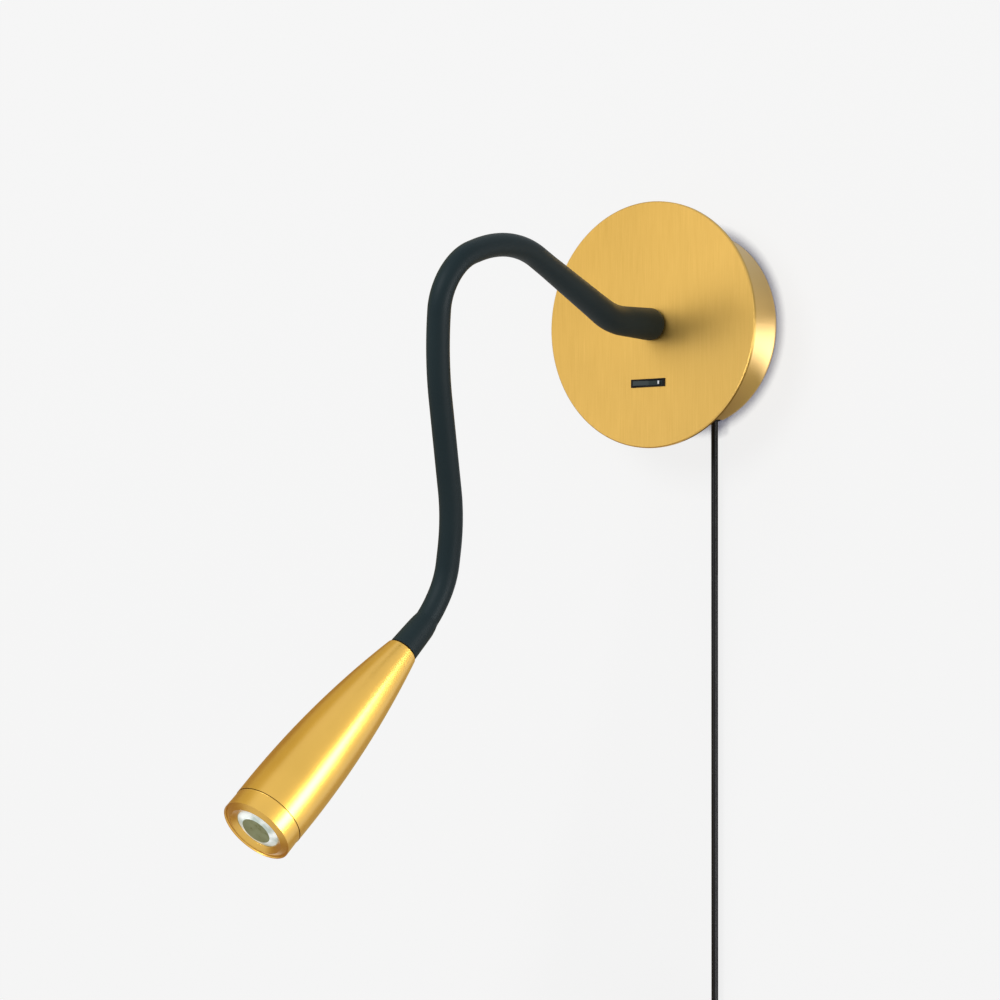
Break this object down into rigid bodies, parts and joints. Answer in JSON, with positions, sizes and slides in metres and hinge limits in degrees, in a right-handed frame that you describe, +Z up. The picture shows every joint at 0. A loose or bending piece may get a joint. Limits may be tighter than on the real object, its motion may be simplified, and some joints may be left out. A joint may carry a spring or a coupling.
{
  "type": "plug-in wall lamp",
  "caption": "Plug-in wall lamp: round brass-look wall base with a rocker switch, black gooseneck arm and slim bullet spot head, on a black mains cord.",
  "frame": {"origin": "where the axis of the round base meets the wall, centre of the bracket's back", "axes": "+Z up, +Y into the wall, +X to the right of someone facing the lamp, lamp towards -Y"},
  "size_m": [0.1321, 0.2258, 0.4398],
  "materials": {
    "plate_brass": "vertically brushed satin",
    "drum_brass": "satin",
    "head_gold": "satin gold anodised",
    "sleeve_black": "matt",
    "hose_steel": "plain",
    "ferrule_steel": "plain",
    "bracket_steel": "zinc plated",
    "fastener_steel": "zinc plated",
    "switch_black": "matt",
    "rocker_black": "satin",
    "blade_brass": "plain",
    "driver_white": "matt",
    "pad_foam": "soft",
    "lead_plastic": "satin",
    "cable_grey": "satin",
    "lens_clear": "clear with a frosted crown",
    "chip_yellow": "plain",
    "board_aluminium": "plain",
    "cord_black": "matt",
    "tie_black": "matt",
    "plug_black": "fine satin",
    "pin_nickel": "nickel plated"
  },
  "bodies": {
    "base": {"arm_cable": "cable_grey", "base_cup": "drum_brass", "base_ferrule": "ferrule_steel", "cord_coil": "cord_black", "cord_drop": "cord_black", "cord_grommet": "plug_black", "cord_stop": "plug_black", "cord_stop_screw": "fastener_steel", "cord_tail": "cord_black", "cord_tie": "tie_black", "driver_leads": "lead_plastic", "driver_pad": "pad_foam", "face_plate": "plate_brass", "gooseneck_sleeve": "sleeve_black", "lamp_leads": "lead_plastic", "led_driver": "driver_white", "lock_nut": "fastener_steel", "mains_leads": "lead_plastic", "plate_nuts": "fastener_steel", "plug_body": "plug_black", "plug_pins": "pin_nickel", "plug_relief": "plug_black", "side_screws": "fastener_steel", "switch_blades": "blade_brass", "switch_housing": "switch_black", "switch_leads": "lead_plastic", "terminal_block": "driver_white", "terminal_screw": "fastener_steel", "wall_bracket": "bracket_steel"},
    "hose_1": {"gooseneck_link_1": "hose_steel"},
    "hose_2": {"gooseneck_link_2": "hose_steel"},
    "hose_3": {"gooseneck_link_3": "hose_steel"},
    "hose_4": {"gooseneck_link_4": "hose_steel"},
    "hose_5": {"gooseneck_link_5": "hose_steel"},
    "hose_6": {"gooseneck_link_6": "hose_steel"},
    "hose_7": {"gooseneck_link_7": "hose_steel"},
    "hose_8": {"gooseneck_link_8": "hose_steel"},
    "hose_9": {"gooseneck_link_9": "hose_steel"},
    "head": {"head_ferrule": "ferrule_steel", "head_shell": "head_gold", "head_bezel": "head_gold", "lens": "lens_clear", "led_chip": "chip_yellow", "led_board": "board_aluminium", "heat_sink": "board_aluminium", "led_leads": "lead_plastic"},
    "rocker": {"rocker": "rocker_black"}
  },
  "joints": [
    {"name": "gooseneck_bend_1", "type": "hinge", "parent": "base", "child": "hose_1", "pos_m": [0, -0.052, 0.00001], "axis": [-0.9542, 0, 0.299], "range_deg": [-30, 30]},
    {"name": "gooseneck_swing_2", "type": "hinge", "parent": "hose_1", "child": "hose_2", "pos_m": [0.00252, -0.08374, 0.00803], "axis": [0.2825, 0.3281, 0.9014], "range_deg": [-30, 30]},
    {"name": "gooseneck_bend_3", "type": "hinge", "parent": "hose_2", "child": "hose_3", "pos_m": [0.00575, -0.11491, 0.01836], "axis": [-0.9542, 0, 0.299], "range_deg": [-30, 30]},
    {"name": "gooseneck_swing_4", "type": "hinge", "parent": "hose_3", "child": "hose_4", "pos_m": [0.00744, -0.1491, 0.02374], "axis": [0.2976, -0.098, 0.9497], "range_deg": [-30, 30]},
    {"name": "gooseneck_bend_5", "type": "hinge", "parent": "hose_4", "child": "hose_5", "pos_m": [0.00287, -0.17875, 0.00915], "axis": [0.9542, 0, -0.299], "range_deg": [-30, 30], "deforming": ["gooseneck_sleeve", "arm_cable"]},
    {"name": "gooseneck_swing_6", "type": "hinge", "parent": "hose_5", "child": "hose_6", "pos_m": [-0.00599, -0.17358, -0.01911], "axis": [0.1187, 0.9179, 0.3787], "range_deg": [-30, 30]},
    {"name": "gooseneck_bend_7", "type": "hinge", "parent": "hose_6", "child": "hose_7", "pos_m": [-0.01414, -0.15891, -0.04513], "axis": [-0.9542, 0, 0.299], "range_deg": [-30, 30]},
    {"name": "gooseneck_swing_8", "type": "hinge", "parent": "hose_7", "child": "hose_8", "pos_m": [-0.02259, -0.14184, -0.07208], "axis": [0.1547, 0.8557, 0.4937], "range_deg": [-30, 30]},
    {"name": "gooseneck_bend_9", "type": "hinge", "parent": "hose_8", "child": "hose_9", "pos_m": [-0.03173, -0.12986, -0.10123], "axis": [-0.9542, 0, 0.299], "range_deg": [-30, 30]},
    {"name": "gooseneck_swing_10", "type": "hinge", "parent": "hose_9", "child": "head", "pos_m": [-0.04057, -0.13833, -0.12947], "axis": [-0.1952, 0.7575, -0.623], "range_deg": [-30, 30]},
    {"name": "switch_rocker", "type": "hinge", "parent": "base", "child": "rocker", "pos_m": [-0.002, -0.0304, -0.0236], "axis": [0, 0, 1], "range_deg": [0, 11]}
  ]
}
